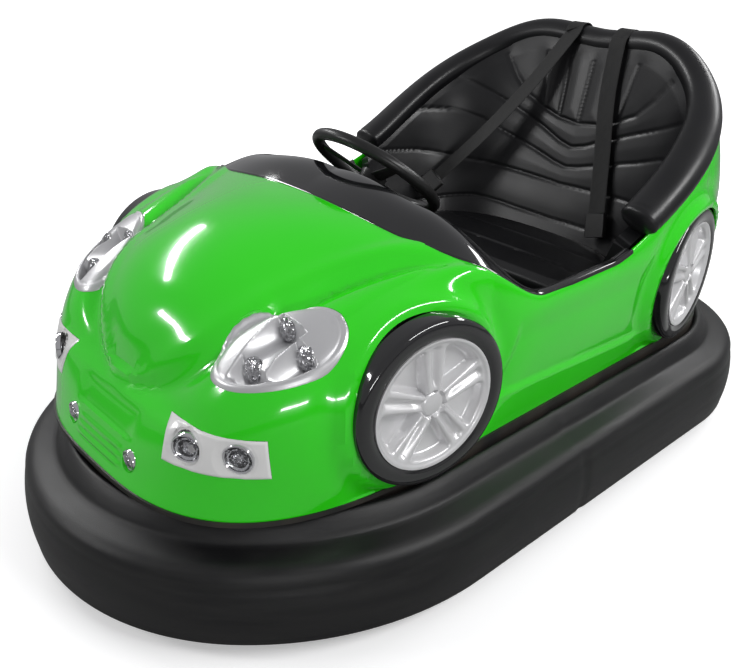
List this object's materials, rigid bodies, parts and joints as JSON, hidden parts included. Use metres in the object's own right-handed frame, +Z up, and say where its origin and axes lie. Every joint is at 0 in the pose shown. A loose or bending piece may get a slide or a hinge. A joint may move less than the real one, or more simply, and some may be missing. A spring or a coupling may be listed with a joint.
{
  "type": "bumper car",
  "caption": "Fairground bumper car with a rubber ring, a glossy moulded shell, a padded seat, steering and a swivelling drive wheel.",
  "frame": {"origin": "centre of the ground rectangle under the car", "axes": "+X is the front, +Y the car's left and +Z up"},
  "size_m": [1.9498, 1.12, 0.9414],
  "materials": {
    "bumper_rubber": "matte, dusty",
    "body_gloss": "high gloss gel coat",
    "chassis_paint": "satin black",
    "floor_plate": "satin",
    "silver_gloss": "satin silver",
    "lamp_lens": "clear, faceted",
    "tail_lens": "red, faceted",
    "grey_panel": "gloss",
    "black_gloss": "high gloss",
    "seat_vinyl": "semi-gloss vinyl",
    "battery_case": "matte",
    "machined_steel": "brushed",
    "black_plastic": "fine grain",
    "cast_housing": "painted casting",
    "road_tyre": "matte",
    "strap_webbing": "woven"
  },
  "bodies": {
    "car_body": {"bumper_ring": "bumper_rubber", "chassis_frame": "chassis_paint", "floor_pan": "floor_plate", "body_shell": "body_gloss", "headlight_pod_left": "silver_gloss", "headlight_pod_right": "silver_gloss", "headlight_lamps": "lamp_lens", "fog_panel_left": "grey_panel", "fog_panel_right": "grey_panel", "fog_lamps": "lamp_lens", "grille_lamps": "lamp_lens", "tail_lamps": "tail_lens", "side_tyre_front_left": "black_gloss", "side_tyre_front_right": "black_gloss", "side_tyre_rear_left": "black_gloss", "side_tyre_rear_right": "black_gloss", "wheel_cover_front_left": "silver_gloss", "wheel_cover_front_right": "silver_gloss", "wheel_cover_rear_left": "silver_gloss", "wheel_cover_rear_right": "silver_gloss", "cockpit_trim": "black_gloss", "seat_tub": "seat_vinyl", "seat_roll": "seat_vinyl", "seat_cushion": "seat_vinyl", "seat_bench": "chassis_paint", "battery_block": "battery_case", "steering_gearbox": "cast_housing", "steering_column": "black_plastic", "rear_axle": "chassis_paint", "accelerator_pedal": "machined_steel", "harness_strap_left": "strap_webbing", "harness_strap_right": "strap_webbing", "harness_buckle_left": "black_plastic", "harness_buckle_right": "black_plastic"},
    "steering": {"steering_wheel": "black_plastic", "steering_shaft": "machined_steel"},
    "drive_unit": {"drive_fork": "chassis_paint", "drive_motor": "cast_housing"},
    "drive_wheel": {"drive_tyre": "road_tyre", "drive_hub": "machined_steel"},
    "rear_wheel_left": {"rear_tyre_left": "road_tyre", "rear_hub_left": "machined_steel"},
    "rear_wheel_right": {"rear_tyre_right": "road_tyre", "rear_hub_right": "machined_steel"}
  },
  "joints": [
    {"name": "steering_turn", "type": "hinge", "parent": "car_body", "child": "steering", "pos_m": [0.14, 0, 0.694], "axis": [-0.6561, 0, 0.7547], "continuous": true},
    {"name": "drive_swivel", "type": "hinge", "parent": "car_body", "child": "drive_unit", "pos_m": [0.47, 0, 0.2], "axis": [0, 0, 1], "continuous": true},
    {"name": "drive_roll", "type": "hinge", "parent": "drive_unit", "child": "drive_wheel", "pos_m": [0.47, 0, 0.1], "axis": [0, 1, 0], "continuous": true},
    {"name": "rear_left_roll", "type": "hinge", "parent": "car_body", "child": "rear_wheel_left", "pos_m": [-0.47, 0.29, 0.075], "axis": [0, 1, 0], "continuous": true},
    {"name": "rear_right_roll", "type": "hinge", "parent": "car_body", "child": "rear_wheel_right", "pos_m": [-0.47, -0.29, 0.075], "axis": [0, 1, 0], "continuous": true}
  ],
  "couplings": [
    {"joint": "steering_turn", "follows": "drive_swivel", "ratio": 1}
  ]
}
